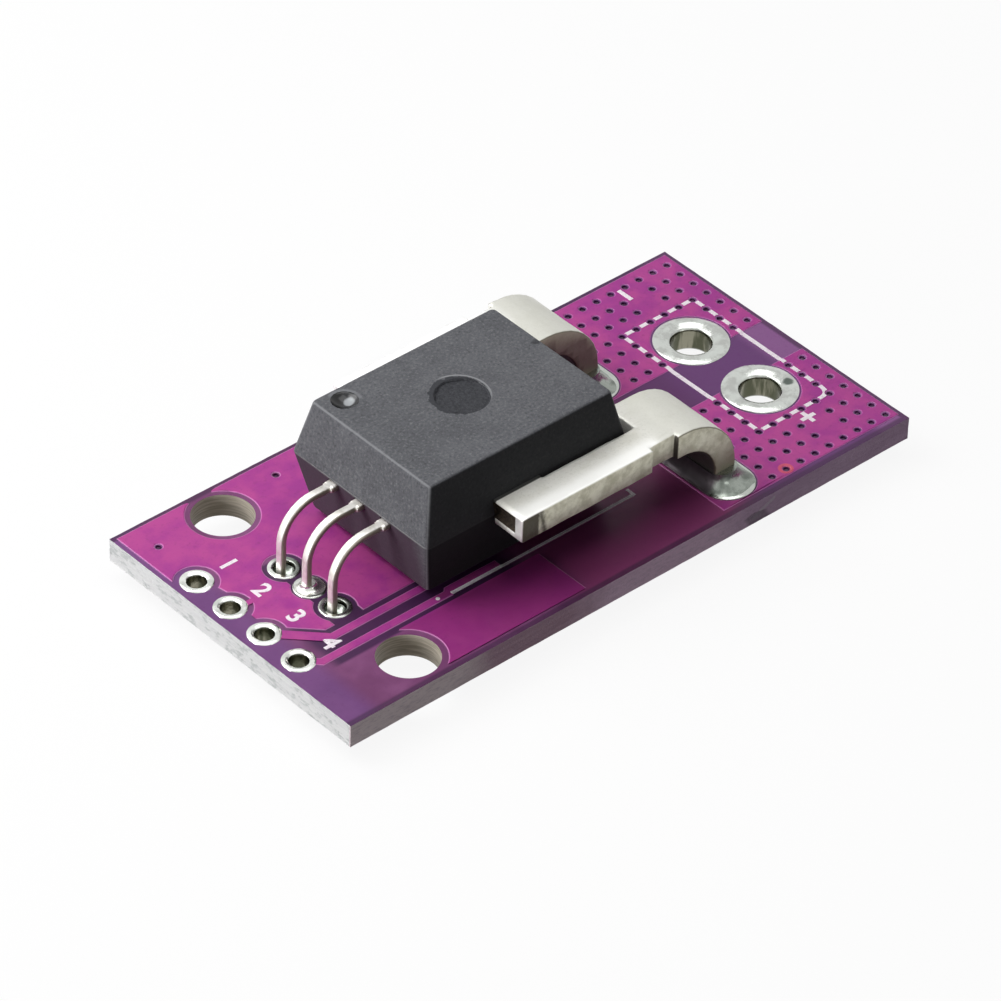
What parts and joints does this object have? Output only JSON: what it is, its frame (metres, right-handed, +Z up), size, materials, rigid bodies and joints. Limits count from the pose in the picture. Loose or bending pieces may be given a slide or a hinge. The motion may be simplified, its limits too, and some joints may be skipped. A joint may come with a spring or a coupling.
{
  "type": "hall effect current sensor",
  "caption": "Small circuit board carrying a moulded Hall effect current sensor: a bent copper current conductor, signal leads, header holes, wire terminals and fixing holes.",
  "frame": {"origin": "under the middle of the board, on the plane of the cut lead tips that the module stands on", "axes": "+X from the signal header end to the current terminal end, +Y across the board towards the side of the first signal lead, +Z up through the board's component side"},
  "size_m": [0.0366, 0.018, 0.0093],
  "materials": {
    "laminate": "purple solder mask on glass epoxy",
    "moulding": "fine spark-eroded epoxy moulding",
    "tinned_copper": "matt tin plate on copper",
    "tinned_lead": "satin tin plate on copper",
    "core_steel": "satin",
    "silicon": "polished",
    "tinned_pad": "hot-air levelled tin",
    "solder": "bright solder"
  },
  "bodies": {
    "root": {"circuit_board": "laminate", "sensor_body": "moulding", "primary_conductor": "tinned_copper", "signal_lead_1": "tinned_lead", "signal_lead_2": "tinned_lead", "signal_lead_3": "tinned_lead", "flux_core": "core_steel", "hall_die": "silicon", "header_plating_1": "tinned_pad", "header_plating_2": "tinned_pad", "header_plating_3": "tinned_pad", "header_plating_4": "tinned_pad", "signal_plating_1": "tinned_pad", "signal_plating_2": "tinned_pad", "signal_plating_3": "tinned_pad", "terminal_plating_1": "tinned_pad", "terminal_plating_2": "tinned_pad", "current_plating_1": "tinned_pad", "current_plating_2": "tinned_pad", "signal_solder_1": "solder", "signal_solder_2": "solder", "signal_solder_3": "solder", "current_solder_1": "solder", "current_solder_2": "solder"}
  },
  "joints": []
}
